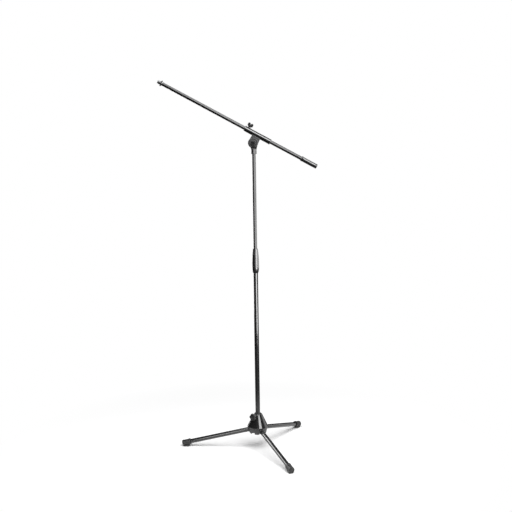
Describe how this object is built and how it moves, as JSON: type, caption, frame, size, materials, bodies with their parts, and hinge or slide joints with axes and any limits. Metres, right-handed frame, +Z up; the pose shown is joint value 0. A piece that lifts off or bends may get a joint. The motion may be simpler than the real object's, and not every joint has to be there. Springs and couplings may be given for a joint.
{
  "type": "boom microphone stand",
  "caption": "Floor stand with a folding tripod base, a two-stage column and a tilting, sliding boom that ends in a threaded stub for a microphone clip.",
  "frame": {"origin": "middle of the footprint box, on the floor", "axes": "+Z up the column, +X from the boom's microphone end towards its counter end, +Y away from the side the tilt lever is on"},
  "size_m": [0.6732, 0.6028, 1.6108],
  "materials": {
    "column_black": "gloss black paint on thin steel tube",
    "leg_black": "satin black paint on thin steel tube",
    "joint_black": "gloss black paint on a die casting",
    "joint_grey": "matt dark grey glass-filled moulding",
    "hub_black": "gloss black moulding",
    "hub_grey": "matt dark grey moulding",
    "moulding_black": "satin black moulding, fine textured",
    "bearing_nylon": "plain dark nylon",
    "boot_rubber": "matt black rubber",
    "steel": "plain turned or plated steel"
  },
  "bodies": {
    "column_lower": {"lower_tube": "column_black", "lower_tube_plug": "bearing_nylon", "clutch_body": "moulding_black"},
    "clutch_grip": {"clutch_grip": "moulding_black"},
    "hub": {"hub_bracket": "hub_grey", "hub_cover": "hub_black", "hub_bush": "bearing_nylon", "hub_cover_screw_1": "steel", "hub_cover_screw_2": "steel", "hub_cover_screw_3": "steel", "leg_pin_left": "steel", "leg_pin_front": "steel", "leg_pin_rear": "steel"},
    "base_knob": {"base_clamp_knob": "moulding_black", "base_clamp_screw": "steel"},
    "leg_left": {"leg_knuckle_left": "hub_grey", "leg_tube_left": "leg_black", "foot_left": "boot_rubber"},
    "leg_front": {"leg_knuckle_front": "hub_grey", "leg_tube_front": "leg_black", "foot_front": "boot_rubber"},
    "leg_rear": {"leg_knuckle_rear": "hub_grey", "leg_tube_rear": "leg_black", "foot_rear": "boot_rubber"},
    "swivel": {"clutch_collet": "bearing_nylon"},
    "column_upper": {"upper_tube": "column_black", "upper_tube_bush": "bearing_nylon", "tilt_socket": "joint_black", "tilt_friction_disc": "bearing_nylon", "tilt_bolt": "steel", "tilt_washer": "steel"},
    "tilt_lever": {"tilt_lever": "moulding_black"},
    "boom_mount": {"boom_saddle": "joint_grey", "boom_clamp_cap": "joint_black"},
    "boom_knob": {"boom_clamp_knob": "moulding_black", "boom_clamp_screw": "steel"},
    "boom_carrier": {"boom_liner": "bearing_nylon"},
    "boom": {"boom_tube": "column_black", "boom_tip": "steel", "rear_grip": "moulding_black"},
    "lock_ring": {"lock_ring": "steel"}
  },
  "joints": [
    {"name": "clutch_turn", "type": "hinge", "parent": "column_lower", "child": "clutch_grip", "pos_m": [0.066, 0.01578, 0.84], "axis": [0, 0, 1], "range_deg": [0, 180]},
    {"name": "hub_slide", "type": "slide", "parent": "column_lower", "child": "hub", "axis": [0, 0, 1], "range_m": [0, 0.3]},
    {"name": "base_knob_turn", "type": "hinge", "parent": "hub", "child": "base_knob", "pos_m": [0.0455, -0.01008, 0.149], "axis": [-0.6211, -0.7837, 0], "range_deg": [0, 360]},
    {"name": "leg_fold_left", "type": "hinge", "parent": "hub", "child": "leg_left", "pos_m": [0.03718, 0.01901, 0.0876], "axis": [-0.1115, -0.9938, 0], "range_deg": [0, 74]},
    {"name": "leg_fold_front", "type": "hinge", "parent": "hub", "child": "leg_front", "pos_m": [0.07761, -0.0108, 0.0876], "axis": [0.9164, 0.4003, 0], "range_deg": [0, 74]},
    {"name": "leg_fold_rear", "type": "hinge", "parent": "hub", "child": "leg_rear", "pos_m": [0.08263, 0.03953, 0.0876], "axis": [-0.8192, 0.5736, 0], "range_deg": [0, 74]},
    {"name": "column_swivel", "type": "hinge", "parent": "column_lower", "child": "swivel", "pos_m": [0.066, 0.01578, 0.87], "axis": [0, 0, 1], "continuous": true},
    {"name": "column_extend", "type": "slide", "parent": "swivel", "child": "column_upper", "axis": [0, 0, 1], "range_m": [-0.4, 0.25]},
    {"name": "tilt_lever_turn", "type": "hinge", "parent": "column_upper", "child": "tilt_lever", "pos_m": [0.063, -0.00122, 1.3425], "axis": [0, 1, 0], "range_deg": [0, 150]},
    {"name": "boom_tilt", "type": "hinge", "parent": "column_upper", "child": "boom_mount", "pos_m": [0.063, 0.01578, 1.3425], "axis": [0, 1, 0], "range_deg": [-118.5, 61]},
    {"name": "boom_knob_turn", "type": "hinge", "parent": "boom_mount", "child": "boom_knob", "pos_m": [0.0531, 0.01578, 1.41709], "axis": [0.4816, 0, 0.8764], "range_deg": [0, 360]},
    {"name": "boom_roll", "type": "hinge", "parent": "boom_mount", "child": "boom_carrier", "pos_m": [0.08159, 0.01578, 1.37633], "axis": [0.8764, 0, -0.4816], "continuous": true},
    {"name": "boom_slide", "type": "slide", "parent": "boom_carrier", "child": "boom", "axis": [0.8764, 0, -0.4816], "range_m": [-0.14, 0.38]},
    {"name": "lock_ring_turn", "type": "hinge", "parent": "boom", "child": "lock_ring", "pos_m": [-0.31875, 0.01578, 1.59632], "axis": [0.8764, 0, -0.4816], "continuous": true}
  ],
  "couplings": [
    {"joint": "leg_fold_left", "follows": "hub_slide", "rad_per_m": 4.305},
    {"joint": "leg_fold_front", "follows": "hub_slide", "rad_per_m": 4.305},
    {"joint": "leg_fold_rear", "follows": "hub_slide", "rad_per_m": 4.305}
  ]
}
